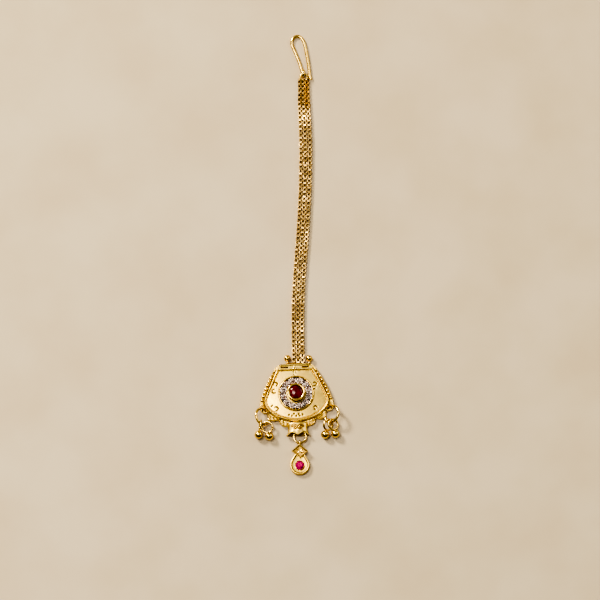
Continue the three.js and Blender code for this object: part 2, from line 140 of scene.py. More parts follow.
def gold_plate(name, pale, deep, roughness, grain_mm, grain_depth_mm, patch_mm):
    """Gold-plated brass. Plating is a little redder where it is thin, so the colour drifts over
    patches of a few millimetres, and handling leaves faint smears in the roughness. The grain is
    the tool marks left by stamping and barrel polishing. Hollows, grooves, slots and the floor
    about raised parts are painted brown and made duller, as painted shade, by the number that
    each point of the mesh carries."""
    made, tree, shader, where = new_material(name)
    patch_scale = 1 / (patch_mm * MM)
    patch = add(tree, "ShaderNodeTexNoise", {"Vector": where, "Scale": patch_scale, "Detail": 3.0})
    tone = ramp_between(tree, patch.outputs["Fac"], deep, pale, 0.3, 0.62)
    # painted shade: each point's number mixes in the brown and raises the roughness
    shade_amount = add(tree, "ShaderNodeAttribute", attribute_name="painted_shade").outputs["Fac"]
    mixed = add(tree, "ShaderNodeMix", {"Factor": shade_amount}, data_type="RGBA")
    tree.links.new(tone, mixed.inputs["A"])
    mixed.inputs["B"].default_value = linear(PAINTED_SHADE_BROWN)
    tree.links.new(mixed.outputs["Result"], shader.inputs["Base Color"])
    smear = add(tree, "ShaderNodeTexNoise", {"Vector": where, "Scale": 1 / (0.9 * MM), "Detail": 4.0})
    spread = add(
        tree,
        "ShaderNodeMapRange",
        {
            "Value": smear.outputs["Fac"],
            "From Min": 0.35,
            "From Max": 0.7,
            "To Min": roughness * 0.9,
            "To Max": roughness * 1.15,
        },
    )
    duller = add(tree, "ShaderNodeMath", {0: shade_amount, 1: PAINTED_SHADE_DULLING}, operation="MULTIPLY")
    both = {0: spread.outputs["Result"], 1: duller.outputs[0]}
    total = add(tree, "ShaderNodeMath", both, operation="ADD")
    tree.links.new(total.outputs[0], shader.inputs["Roughness"])
    grain_scale = 1 / (grain_mm * MM)
    grain = add(tree, "ShaderNodeTexNoise", {"Vector": where, "Scale": grain_scale, "Detail": 2.0})
    bump = add(
        tree,
        "ShaderNodeBump",
        {"Height": grain.outputs["Fac"], "Strength": 1.0, "Distance": grain_depth_mm * MM},
    )
    tree.links.new(bump.outputs["Normal"], shader.inputs["Normal"])
    shader.inputs["Metallic"].default_value = 1.0
    return made


def rhodium_plate():
    """Rhodium over brass, as on the little cups about the clear stones: a bright white metal,
    tinted pink and grey in random patches, a painted reflection of the gold and board about it."""
    made, tree, shader, where = new_material("rhodium_plate")
    patch = add(tree, "ShaderNodeTexNoise", {"Vector": where, "Scale": 1 / (0.8 * MM), "Detail": 3.0})
    tone = ramp_between(tree, patch.outputs["Fac"], "#b9a49c", "#efe6df", 0.3, 0.65)
    tree.links.new(tone, shader.inputs["Base Color"])
    shader.inputs["Metallic"].default_value = 1.0
    shader.inputs["Roughness"].default_value = 0.16
    return made


def cut_glass(name, pale, deep, cloud_mm, ior, roughness, clearness):
    """Coloured glass. Its colour drifts between a pale and a deep tone in soft clouds, as it does
    where light takes shorter and longer ways through; some light passes, by its clearness."""
    made, tree, shader, where = new_material(name)
    cloud_scale = 1 / (cloud_mm * MM)
    cloud = add(tree, "ShaderNodeTexNoise", {"Vector": where, "Scale": cloud_scale, "Detail": 1.0})
    tone = ramp_between(tree, cloud.outputs["Fac"], deep, pale, 0.32, 0.6)
    tree.links.new(tone, shader.inputs["Base Color"])
    shader.inputs["Roughness"].default_value = roughness
    shader.inputs["IOR"].default_value = ior
    shader.inputs["Transmission Weight"].default_value = clearness
    return made


def foiled_crystal():
    """Foil-backed cubic zirconia, with painted sparkle: the bright and dark triangles that its back
    facets would send forward are painted as cells a third of a millimetre across, from white to a
    pinkish grey."""
    made, tree, shader, where = new_material("foiled_zirconia")
    cells = add(tree, "ShaderNodeTexVoronoi", {"Vector": where, "Scale": 1 / (0.3 * MM)})
    split = add(tree, "ShaderNodeSeparateColor", {"Color": cells.outputs["Color"]})
    ramp = add(tree, "ShaderNodeValToRGB", {"Fac": split.outputs["Red"]})
    ramp.color_ramp.interpolation = "CONSTANT"
    ramp.color_ramp.elements[0].color = linear("#4a352c")
    ramp.color_ramp.elements[1].position = 0.22
    ramp.color_ramp.elements[1].color = linear("#c49d8b")
    for position, code in ((0.45, "#f0dccf"), (0.66, "#fff8f0")):
        ramp.color_ramp.elements.new(position).color = linear(code)
    tree.links.new(ramp.outputs["Color"], shader.inputs["Base Color"])
    shader.inputs["Roughness"].default_value = 0.05
    shader.inputs["IOR"].default_value = 2.1
    shader.inputs["Metallic"].default_value = 0.55
    return made


def painted_link_shade():
    """The insides of the links, painted dark brown and dull as painted shade, mottled at random."""
    made, tree, shader, where = new_material("painted_link_shade")
    stain = add(tree, "ShaderNodeTexNoise", {"Vector": where, "Scale": 1 / (0.6 * MM), "Detail": 2.0})
    tone = ramp_between(tree, stain.outputs["Fac"], "#3a210a", "#6b4518", 0.35, 0.65)
    tree.links.new(tone, shader.inputs["Base Color"])
    shader.inputs["Metallic"].default_value = 0.7
    shader.inputs["Roughness"].default_value = 0.5
    return made


# stamped and brushed sheet: light spreads over it in broad soft sheens
SATIN_GOLD = gold_plate("gold_plate_satin", "#ebd17c", "#e4c46a", 0.34, 0.2, 0.0008, 5.0)
# barrel-polished wire and balls: sharp reflections, faintly rippled
POLISHED_GOLD = gold_plate("gold_plate_polished", "#ecd07c", "#e0bb66", 0.15, 0.5, 0.001, 2.5)
# links of bright-rolled strip, each face with its own small glint
CHAIN_GOLD = gold_plate("gold_plate_chain", "#f0d08a", "#e0b96e", 0.27, 0.3, 0.001, 3.0)
RHODIUM = rhodium_plate()
# a domed stone of dark red glass, nearly opaque
RUBY_GLASS = cut_glass("ruby_glass", "#86101f", "#42060f", 1.8, 1.45, 0.12, 0.25)
# faceted pink glass of high index, which shows its back facets
PINK_GLASS = cut_glass("pink_glass", "#e83a8c", "#b01a66", 0.8, 1.7, 0.02, 0.35)
CRYSTAL = foiled_crystal()
# painted shade for the insides of the links
LINK_INSIDE_SHADE = painted_link_shade()

# ---- grids of points ----------------------------------------------------------------------------


def net(points):
    """The faces of a grid of points, rows by columns, as one quad for each cell."""
    rows, columns = points.shape[:2]
    number = np.arange(rows * columns).reshape(rows, columns)
    corners = [number[:-1, :-1], number[:-1, 1:], number[1:, 1:], number[1:, :-1]]
    return points.reshape(-1, 3), np.stack([c.ravel() for c in corners], axis=1)


def unit(vectors):
    """The vectors at length one."""
    return vectors / np.linalg.norm(vectors, axis=-1, keepdims=True)


def smooth_path(points, count):
    """A curve through the points: between two points, the cubic whose slopes there are half the
    step between their neighbours."""
    points = np.asarray(points, float)
    slopes = np.gradient(points, axis=0)
    at = np.linspace(0, len(points) - 1, count)
    first = np.minimum(at.astype(int), len(points) - 2)
    t = (at - first)[:, None]
    a, b, sa, sb = points[first], points[first + 1], slopes[first], slopes[first + 1]
    return (
        a * (2 * t**3 - 3 * t**2 + 1)
        + sa * (t**3 - 2 * t**2 + t)
        + b * (3 * t**2 - 2 * t**3)
        + sb * (t**3 - t**2)
    )


def wire(path, radius, up, sides=20, closed=False):
    """A round wire: at each point of the path a circle in the plane across it, set out from the
    direction up. An open wire ends in a slightly rounded cut face."""
    path = np.asarray(path, float)
    along = unit(np.gradient(path, axis=0))
    if closed:
        along[0] = along[-1] = unit(path[1] - path[-2])
    across = unit(np.cross(np.broadcast_to(up, path.shape), along))
    lift = np.cross(along, across)
    angle = np.linspace(0, TURN, sides + 1)[None, :, None]
    round_it = np.cos(angle) * across[:, None] + np.sin(angle) * lift[:, None]
    tube = path[:, None] + radius * round_it
    if closed:
        return [net(tube)]
    ends = []
    for end, outward in ((0, -1), (-1, 1)):
        out = outward * along[end]
        size = np.array([0, 0.8, 1.0])[:, None, None]
        push = np.array([0.3, 0.22, 0.0])[:, None, None]
        cap = path[end] + radius * (size * round_it[end][None] + push * out)
        ends.append(cap if end == 0 else cap[::-1])
    return [net(np.concatenate([ends[0], tube[1:-1], ends[1]]))]


def turned(profile, centre=(0, 0, 0), segments=64):
    """A turned form: each (radius, height) of the profile goes round the upright axis."""
    profile = np.asarray(profile, float)
    angle = np.linspace(0, TURN, segments + 1)
    radius, height = profile[:, 0][:, None], profile[:, 1][:, None]
    grid = np.stack([radius * np.cos(angle), radius * np.sin(angle), height + 0 * angle], axis=-1)
    return [net(grid + np.asarray(centre))]


def orb(centre, radius, rows=20, segments=32):
    """A ball: its profile is a half circle from the lower pole to the upper one."""
    angle = np.linspace(-math.pi / 2, math.pi / 2, rows + 1)
    return turned(np.stack([radius * np.cos(angle), radius * np.sin(angle)], axis=1), centre, segments)


def ring_path(centre, towards, roll, radius, count=72, start=0.0, sweep=TURN):
    """A circle whose plane holds the line from its centre to another point, rolled about it."""
    centre = np.asarray(centre, float)
    along = unit(np.asarray(towards, float) - centre)
    sideways = unit(np.cross(along, [0, 0, 1]))
    lift = np.cross(sideways, along)
    across = sideways * math.cos(roll) + lift * math.sin(roll)
    angle = (start + np.linspace(0, sweep, count))[:, None]
    path = centre + radius * (np.cos(angle) * along + np.sin(angle) * across)
    return path, np.cross(along, across)


def jump_ring(centre, towards, roll_degrees, radius, thickness, cut_at=2.2):
    """A ring of wire, closed but for the hair's breadth of its cut."""
    gap = 0.06 / radius
    path, normal = ring_path(
        centre, towards, math.radians(roll_degrees), radius, 90, cut_at + gap, TURN - 2 * gap
    )
    return wire(path, thickness, normal, 18)


def smooth_step(value, start, end):
    """From 0 at the start to 1 at the end, level at both."""
    t = np.clip((value - start) / (end - start), 0, 1)
    return t * t * (3 - 2 * t)


def bump_at(x, y, centre, radius):
    """A soft round rise of one at the centre, falling to nothing at the radius."""
    far = np.hypot(x - centre[0], y - centre[1]) / radius
    return np.clip(1 - far**2, 0, 1) ** 2


# ---- putting pieces into the scene --------------------------------------------------------------


def make_piece(name, shells, material, nodes=(), smooth=True, painted_shade=None):
    """One object from a list of (points in mm, faces). Doubles are merged, which closes seams and
    poles, and then the faces of each closed shell are turned outwards. The last argument is
    painted shade, a number for each point, from none at 0 to brown at 1."""
    mesh = bpy.data.meshes.new(name)
    starts = np.cumsum([0] + [len(points) for points, _ in shells])
    points = np.concatenate([points for points, _ in shells])
    faces = [np.asarray(f) + start for (_, f), start in zip(shells, starts)]
    loops = np.concatenate([f.ravel() for f in faces])
    sizes = np.concatenate([np.full(len(f), f.shape[1]) for f in faces])
    mesh.vertices.add(len(points))
    mesh.vertices.foreach_set("co", ((points + SHIFT) * MM).astype(np.float32).ravel())
    mesh.loops.add(len(loops))
    mesh.loops.foreach_set("vertex_index", loops.astype(np.int32))
    mesh.polygons.add(len(sizes))
    mesh.polygons.foreach_set("loop_start", (np.cumsum(sizes) - sizes).astype(np.int32))
    mesh.update(calc_edges=True)
    # painted shade, stored on the points for the gold materials to read
    if painted_shade is not None:
        layer = mesh.attributes.new("painted_shade", "FLOAT", "POINT")
        layer.data.foreach_set("value", np.clip(painted_shade, 0, 1).astype(np.float32).ravel())
    work = bmesh.new()
    work.from_mesh(mesh)
    bmesh.ops.remove_doubles(work, verts=work.verts, dist=1e-6)
    bmesh.ops.dissolve_degenerate(work, edges=work.edges, dist=1e-7)
    bmesh.ops.recalc_face_normals(work, faces=work.faces)
    work.to_mesh(mesh)
    work.free()
    mesh.polygons.foreach_set("use_smooth", np.full(len(mesh.polygons), smooth))
    mesh.materials.append(material)
    piece = bpy.data.objects.new(name, mesh)
    bpy.context.scene.collection.objects.link(piece)
    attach(piece, "root")
    if nodes:
        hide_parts(*nodes)
    return piece


def hung(shells, turn=PLATE_TURN, at=PLATE_AT):
    """Shells made square to the plate's own axis, turned to the way that it hangs."""
    cos, sin = math.cos(turn), math.sin(turn)
    spin = np.array([[cos, sin, 0], [-sin, cos, 0], [0, 0, 1]])
    return [(points @ spin + at, faces) for points, faces in shells]


def both_sides(shells):
    """The shells and their mirror images across the plate's axis."""
    return shells + [(points * [-1, 1, 1], faces[:, ::-1]) for points, faces in shells]


# ---- outlines -----------------------------------------------------------------------------------


def curve_points(steps, start, count=14):
    """An outline's half as points: each step is a line to (x, y), or a curve by way of (cx, cy)."""
    here = np.array(start, float)
    parts = [here[None]]
    for step in steps:
        to = np.array(step[-2:], float)
        via = np.array(step[:2], float) if len(step) == 4 else (here + to) / 2
        t = np.linspace(0, 1, count + 1)[1:, None]
        parts.append((1 - t) ** 2 * here + 2 * t * (1 - t) * via + t**2 * to)
        here = to
    return np.concatenate(parts)


def ray_lengths(half, angles):
    """How far a ray from the middle goes to meet the outline, whose right half is given."""
    bearing = np.arctan2(half[:, 1], half[:, 0])
    order = np.argsort(bearing)
    folded = np.arctan2(np.sin(angles), np.abs(np.cos(angles)))
    return np.interp(folded, bearing[order], np.hypot(half[:, 0], half[:, 1])[order])


BORDER = curve_points(
    [
        [3.5, 8.5],
        [5.5, 8.15, 6.35, 6.2],
        [8.9, 2.2, 10.1, -1.8],
        [10.5, -3.1, 10.3, -4.3],
        [9.95, -5.3, 9.0, -5.4],
        [8.55, -5.4, 8.15, -5.25],
        [8.1, -6.4],
        [7.9, -7.55, 6.6, -7.65],
        [5.15, -7.45],
        [4.95, -9.2, 3.4, -9.3],
        [2.4, -9.6],
        [0, -9.8],
    ],
    (0, 8.65),
)
FIELD = curve_points(
    [
        [4.55, 6.5],
        [8.3, -1.2],
        [8.9, -2.9, 7.4, -4.4],
        [4.6, -7.2, 0, -7.55],
    ],
    (0, 6.62),
)
FRAME_WIDTH = 0.62
MARK_DEPTH = 0.16
# in the plate's own frame: the middle of the right eyelet
EYELET = (9.1, -4.6)

# ---- the stamped plate --------------------------------------------------------------------------


def engraving(x, y):
    """The depth of the chased marks on the field: crescents, a ring, dots and short strokes."""
    depth = np.zeros_like(x)
    for cx, cy, radius, opening in (
        (5.35, -4.45, 0.5, 2.6),
        (-5.7, -4.3, 0.55, 0.3),
        (-5.7, 2.7, 0.6, 1.1),
        (-6.1, 0.75, 0.55, 3.4),
        (5.35, 2.35, 0.5, 0.4),
        (5.15, 1.35, 0.42, 3.6),
    ):
        far = np.hypot(x - cx, y - cy)
        bearing = np.arctan2(y - cy, x - cx)
        turned_away = np.cos(bearing - opening)
        ring = np.exp(-(((far - radius) / 0.13) ** 2)) * smooth_step(turned_away, -0.75, -0.3)
        depth += MARK_DEPTH * ring
    for spot in (
        (-6.85, -3.4),
        (-2.2, -6.2),
        (-1.4, -6.45),
        (-0.8, -5.95),
        (-0.2, -6.5),
        (0.5, -6.0),
        (0.8, -6.5),
        (1.6, -6.25),
    ):
        depth += MARK_DEPTH * bump_at(x, y, spot, 0.36)
    for spot in ((-0.35, 6.1), (0.3, 5.9), (-0.3, 5.3), (0.0, 4.9)):
        depth += 0.1 * bump_at(x, y, spot, 0.28)
    return depth


def edge_distance(x, y, half):
    """How far each point is from the outline, the left side being folded onto the right."""
    points = np.stack([np.abs(x), y], axis=-1)[..., None, :]
    first, step = half[:-1], np.diff(half, axis=0)
    t = np.clip(((points - first) * step).sum(-1) / (step**2).sum(-1), 0, 1)
    return np.linalg.norm(points - first - t[..., None] * step, axis=-1).min(-1)


def leaf(x, y, centre, length, width, bearing):
    """A pointed leaf in relief: a low mound across its width, with a line down the middle."""
    along = (x - centre[0]) * math.cos(bearing) + (y - centre[1]) * math.sin(bearing)
    across = -(x - centre[0]) * math.sin(bearing) + (y - centre[1]) * math.cos(bearing)
    girth = width * np.clip(1 - (along / length) ** 2, 0, 1) + 1e-6
    mound = np.clip(1 - (across / girth) ** 2, 0, 1)
    return np.sqrt(mound) - 0.5 * np.exp(-((across / 0.09) ** 2)) * (mound > 0)


def border_height(x, y, from_frame):
    """The plate outside its frame: a flat bed with a raised edge that follows the outline, a fine
    ridge beside the frame, dished scallops along the foot, leaves and an eyelet at the corners."""
    from_edge = edge_distance(x, y, BORDER)
    foot = 1 - smooth_step(y, -5.6, -5.0)
    flank = 1 - foot
    raised = np.exp(-(((from_edge - 0.17) / 0.12) ** 2))
    height = 0.98 + (0.1 + 0.14 * foot) * raised - 0.3 * (1 - smooth_step(from_edge, 0.0, 0.1)) ** 2
    height += 0.3 * flank * np.exp(-(((from_frame - 0.26) / 0.1) ** 2))
    flutes = 0.5 + 0.5 * np.cos(x * 7.0)
    height -= 0.12 * foot * smooth_step(from_edge, 0.25, 0.45) * flutes
    side = np.abs(x)
    for centre, length, width, bearing in (
        ((8.9, -2.3), 1.3, 0.42, 1.25),
        ((9.75, -2.9), 1.2, 0.34, 1.75),
        ((7.6, -5.0), 1.0, 0.36, 0.4),
        ((6.6, -6.5), 1.1, 0.38, 0.7),
        ((4.2, -8.3), 0.9, 0.36, 1.2),
    ):
        height += 0.2 * leaf(side, y, centre, length, width, bearing)
    far = np.hypot(side - EYELET[0], y - EYELET[1])
    lip = 0.16 * np.exp(-(((far - 0.72) / 0.12) ** 2))
    return height + lip - 0.5 * (1 - smooth_step(far, 0.42, 0.58))


def plate_sheet():
    """The stamped sheet as two skins on one net of rays. The upper skin's height follows, from
    the middle out, the field's low dome, a groove, the half-round frame and the worked border.
    The lower skin is the hollow back, its rim on the board, with room for the chain and rings."""
    angles = np.linspace(0, TURN, 641)
    field = ray_lengths(FIELD, angles)
    border = ray_lengths(BORDER, angles)
    outward = 1 / np.maximum(np.abs(np.cos(angles - np.round(angles / (TURN / 4)) * TURN / 4)), 0.7)
    framed = np.minimum(field + FRAME_WIDTH * outward, border - 0.12)
    s = np.concatenate([np.linspace(0, 0.94, 46), np.linspace(0.95, 1, 9)])[:, None]
    t = np.linspace(0, 1, 15)[1:, None]
    w = np.linspace(0, 1, 41)[1:, None]
    reach = [s * field, field + t * (framed - field), framed + w * (border - framed)]
    reach = np.concatenate(reach)
    x, y = reach * np.cos(angles), reach * np.sin(angles)
    inside = s * field
    dome = 1.44 + 0.34 * (1 - inside**2 / 75)
    dome += (1.24 - dome) * smooth_step(s, 0.962, 0.98)
    ridge = 1.26 + 0.6 * np.sin(math.pi * t) ** 0.6 + 0 * field
    outer = len(dome) + len(ridge)
    from_frame = (reach - framed)[outer:] / outward
    rim = border_height(x[outer:], y[outer:], from_frame)
    rim += (1.26 - rim) * (1 - smooth_step(from_frame, 0.0, 0.08))
    dome -= engraving(x[: len(dome)], y[: len(dome)])
    height = np.concatenate([dome, ridge, rim])
    under_collar = smooth_step(y, 6.55, 6.75) * (1 - smooth_step(np.abs(x - 0.6), 2.3, 2.6))
    height = np.where(y > 6.6, 1.0 + 0.38 * under_collar, height)
    upper = np.stack([x, y, height], axis=-1)
    brown = painted_shade_on_plate(x, y, reach, field, framed)
    # lower skin, from the edge inwards
    inwards = np.concatenate([np.linspace(1, 0.8, 8), np.linspace(0.78, 0, 10)])[:, None]
    reach = inwards * border
    x, y = reach * np.cos(angles), reach * np.sin(angles)
    hollow = 0.8 * (1 - smooth_step(reach, field - 0.75, field - 0.55))
    shade_x = x * math.cos(PLATE_TURN) - y * math.sin(PLATE_TURN) + PLATE_AT[0]
    notch = 1.2 * smooth_step(y, 7.0, 7.15) * (1 - smooth_step(np.abs(shade_x - 0.33), 1.9, 2.0))
    under = np.maximum(hollow, notch)
    for cx, cy, radius, lift in ((9.12, -4.6, 1.85, 0.7), (8.2, -6.5, 1.5, 0.7)):
        far = np.hypot(np.abs(x) - cx, y - cy)
        under = np.maximum(under, lift * (1 - smooth_step(far, radius, radius + 0.12)))
    lower = np.stack([x, y, under], axis=-1)
    # the hollow back takes a light painted shade all over
    brown = np.concatenate([brown, np.full(x.shape, 0.15)])
    return [net(np.concatenate([upper, lower]))], brown


def relief(points, floor):
    """Closes a worked face: its edge goes straight down to a flat back at the floor's height."""
    around = np.pad(points, ((1, 1), (1, 1), (0, 0)), mode="edge")
    around[[0, -1], :, 2] = floor
    around[:, [0, -1], 2] = floor
    back = points[::-1] * [1, 1, 0] + [0, 0, floor]
    return [net(around), net(back)]


def collar():
    """The bar across the plate's top: its face rises steeply from the field, dips where the two
    slots are cut, and rolls over at the back. Its ends are drawn in towards the back."""
    u = np.linspace(-1, 1, 201)[None, :]
    v = np.linspace(0, 1, 45)[:, None]
    half = np.interp(
        v, [0, 0.1, 0.2, 0.4, 0.6, 0.8, 0.92, 1], [4.85, 5.1, 5.25, 5.1, 4.75, 4.25, 3.8, 3.35]
    )
    x = half * u
    y = 6.5 + 2.0 * v - 0.1 * np.abs(u) ** 3 * v
    z = np.interp(
        v,
        [0, 0.03, 0.1, 0.2, 0.45, 0.62, 0.8, 0.92, 1],
        [1.1, 1.5, 1.7, 1.76, 1.7, 1.76, 1.9, 1.8, 1.3],
    )
    end = smooth_step(np.abs(u), 0.94, 1.0)
    slot_length = 1 - smooth_step(np.abs(np.abs(x) - 2.95), 0.98, 1.03)
    slot = slot_length * (1 - smooth_step(np.abs(y - 7.36), 0.16, 0.21))
    drop = 0.45 * end**2 + 0.7 * slot
    for cx, cy, radius in ((-0.3, 6.95, 0.22), (0.25, 6.8, 0.2), (-0.1, 7.5, 0.2)):
        drop = drop - 0.12 * bump_at(x, y, (cx, cy), radius * 1.6)
    # painted shade: the slots and the foot of the bar's face are brown
    brown = np.maximum(slot, 0.7 * (1 - smooth_step(v, 0.0, 0.07)) + 0 * x)
    brown = np.concatenate([np.pad(brown, 1, mode="edge").ravel(), 0 * brown.ravel()])
    return relief(np.stack([x, y, z - drop], axis=-1), 0.97), brown


def bead_centres():
    """Nine beads along a flank, on the curve that the border follows."""
    t = np.linspace(0, 1, 200)[:, None]
    line = (1 - t) ** 2 * [5.75, 6.4] + 2 * t * (1 - t) * [8.26, 2.34] + t**2 * [9.55, -1.7]
    run = np.concatenate([[0], np.cumsum(np.hypot(*np.diff(line, axis=0).T))])
    at = np.linspace(0, run[-1], 9)
    return np.stack([np.interp(at, run, line[:, 0]), np.interp(at, run, line[:, 1])], axis=1)


def bead_row():
    return [shell for x, y in bead_centres() for shell in orb((x, y, 1.18), 0.48, 12, 20)]


def painted_shade_on_plate(x, y, reach, field, framed):
    """Painted shade: brown laid in the chased marks, at the foot of the frame and of the halo,
    round each bead, in the eyelets, on the scallops' bed and under the collar, where its slots
    show it."""
    brown = engraving(x, y) / 0.1
    inner = np.exp(-(((reach - 0.975 * field) / 0.09) ** 2))
    outer = np.exp(-(((reach - framed - 0.04) / 0.13) ** 2))
    foot = np.exp(-(((np.hypot(x, y + 0.18) - 5.02) / 0.1) ** 2))
    brown = np.maximum.reduce([brown, 0.5 * inner, 0.65 * outer, 0.9 * foot])
    side = np.abs(x)
    for cx, cy in bead_centres():
        brown = np.maximum(brown, 0.28 * (1 - smooth_step(np.hypot(side - cx, y - cy), 0.45, 0.66)))
    brown = np.maximum(brown, 1 - smooth_step(np.hypot(side - EYELET[0], y - EYELET[1]), 0.55, 0.7))
    brown = np.where((y > 6.9) & (side < 4.4), 1.0, brown)
    bed = smooth_step(reach - framed, 0.3, 0.5) * smooth_step(edge_distance(x, y, BORDER), 0.28, 0.4)
    return np.maximum(brown, 0.4 * bed * (y < -3))


def scroll(side):
    """The middle line of a comma on the bell, curling in towards its eye."""
    t = np.linspace(0, 1, 30)
    curl = 4.4 * t + 0.5
    radius = 0.74 * (1 - 0.72 * t)
    x = side * (0.78 + radius * np.cos(curl))
    y = -9.85 - 0.1 * (side > 0) + radius * np.sin(curl)
    return np.stack([x, y, 1.16 + 1.0 * np.sqrt(1 - (x / 2.7) ** 2)], axis=1)


def bell_cap():
    """A small fluted bell lying on its side: round its axis an ellipse pressed flat below, its
    width swelling towards the lip. The lip's upper half waves; the lower half runs straight."""
    angle = np.linspace(0, TURN, 145)[None, :]
    crown = np.linspace(0, math.pi / 2, 8)[:-1, None]
    down = np.linspace(0, 1, 46)[:, None]
    across, above = np.cos(angle), np.sin(angle)
    upper = smooth_step(above, -0.1, 0.35)
    width = 2.62 - 0.1 * np.sin(math.pi * down) + 0.66 * down**5
    wave = 0.36 * np.cos(TURN * across / 0.95) + 0.28 * across**4
    length = 2.9 + upper * wave + (1 - upper) * 0.5
    flute = 0.03 * np.cos(4 * math.pi * across) * down**2 * upper
    body_z = 1.1 + (0.98 + 0.06 * down + 0.12 * down**8) * above + flute
    body = np.stack([width * across, -8.75 - length * down, body_z], axis=-1)
    size = np.sin(crown)
    top = np.stack(
        [2.62 * size * across, -8.75 + 0.6 * np.cos(crown) + 0 * angle, 1.1 + 0.98 * size * above],
        axis=-1,
    )
    shell = np.concatenate([top, body])
    shell[..., 2] = np.maximum(shell[..., 2], 0.1)
    # painted shade: the lower half, seen inside the lip, is brown, and so is a band round each scroll
    brown = 0.75 * (1 - upper) + 0 * shell[..., 0]
    for side in (-1, 1):
        line = scroll(side)[:, :2]
        far = np.linalg.norm(shell[..., None, :2] - line, axis=-1).min(-1)
        brown = np.maximum(brown, np.exp(-((far / 0.42) ** 4)) * upper)
    return [net(shell)], brown


def cap_chasing():
    """Raised scrolls on the bell: two commas and a bead, as thin wires laid on its face."""
    shells = []
    for side in (-1, 1):
        shells += wire(scroll(side), 0.15, (0, 0, 1), 10)
    for x, y, radius in ((0, -10.85, 0.2), (-1.35, -10.7, 0.15), (1.35, -10.75, 0.15)):
        shells += orb((x, y, 1.14 + 1.0 * math.sqrt(1 - (x / 2.7) ** 2)), radius, 8, 12)
    return shells


def granules():
    """A ball at each side of the chain's foot, on a short stem."""
    shells = []
    for x in (-2.72, 3.34):
        shells += orb((x, 10.0, 0.94), 0.94)
        shells += wire([[x, 9.4, 0.7], [x, 9.0, 0.7], [x, 8.4, 0.7]], 0.42, (0, 0, 1), 16)
    return shells


def hidden_fittings():
    """The bar that holds the chain's last links, and the upright eye under the cap."""
    bar = wire([[-1.8, 7.6, 0.62], [0.3, 7.6, 0.62], [2.4, 7.6, 0.62]], 0.24, (0, 0, 1), 14)
    eye_angle = np.linspace(0, TURN, 48)
    eye = np.stack(
        [0.6 + 0 * eye_angle, -10.6 + 0.75 * np.cos(eye_angle), 1.05 + 0.75 * np.sin(eye_angle)], axis=1
    )
    return bar + wire(eye, 0.22, (1, 0, 0), 14, closed=True)


sheet, brown = plate_sheet()
make_piece("plate_sheet", hung(sheet), SATIN_GOLD, ["plate"], painted_shade=brown)
bar, brown = collar()
make_piece("plate_collar", hung(bar), SATIN_GOLD, painted_shade=brown)
make_piece("plate_beads", hung(both_sides(bead_row())), POLISHED_GOLD)
bell, brown = bell_cap()
cap = make_piece("bell_cap", hung(bell), SATIN_GOLD, painted_shade=brown)
wall = cap.modifiers.new("wall", "SOLIDIFY")
wall.thickness = 0.16 * MM
wall.offset = -1
make_piece("cap_chasing", hung(cap_chasing()), POLISHED_GOLD)
make_piece("granules", granules(), POLISHED_GOLD)
make_piece("hidden_fittings", hidden_fittings(), SATIN_GOLD)

# ---- halo and centre stone ----------------------------------------------------------------------

HALO_COUNT = 12
HALO_ORBIT = 3.64
halo_angles = (np.arange(HALO_COUNT) + 0.5) / HALO_COUNT * TURN
halo_centres = HALO_AT + np.stack(
    [HALO_ORBIT * np.cos(halo_angles), HALO_ORBIT * np.sin(halo_angles), 0 * halo_angles], axis=1
)


def brown_below(shells, height, reach):
    """Painted shade for points lower than the height and outside a circle about the halo's middle."""
    points = np.concatenate([p for p, _ in shells])
    outside = np.hypot(points[:, 0] - HALO_AT[0], points[:, 1] - HALO_AT[1]) > reach
    return 0.9 * outside * (points[:, 2] < height)


def halo_tray():
    """A round tray with a raised outer rim."""
    profile = [
        (2.52, 1.5),
        (4.8, 1.5),
        (4.92, 1.56),
        (4.95, 2.2),
        (4.9, 2.36),
        (4.78, 2.42),
        (4.62, 2.38),
        (4.54, 2.22),
        (4.52, 1.98),
        (2.85, 1.94),
        (2.8, 1.6),
        (2.52, 1.58),
        (2.52, 1.5),
    ]
    return turned(profile, HALO_AT, 120)


def halo_collets():
    """A thin cup about each stone, and a claw bead on each side of it where neighbours meet."""
    cup = [(0.7, 1.9), (0.88, 1.9), (0.9, 2.28), (0.86, 2.34), (0.78, 2.34), (0.75, 2.26), (0.7, 1.9)]
    shells = []
    for centre in halo_centres:
        shells += turned(cup, centre, 32)
    between = halo_angles + TURN / HALO_COUNT / 2
    for radius, size in ((4.22, 0.22), (3.08, 0.17)):
        for angle in between:
            spot = HALO_AT + [radius * math.cos(angle), radius * math.sin(angle), 2.2]
            shells += orb(spot, size, 8, 12)
    return shells


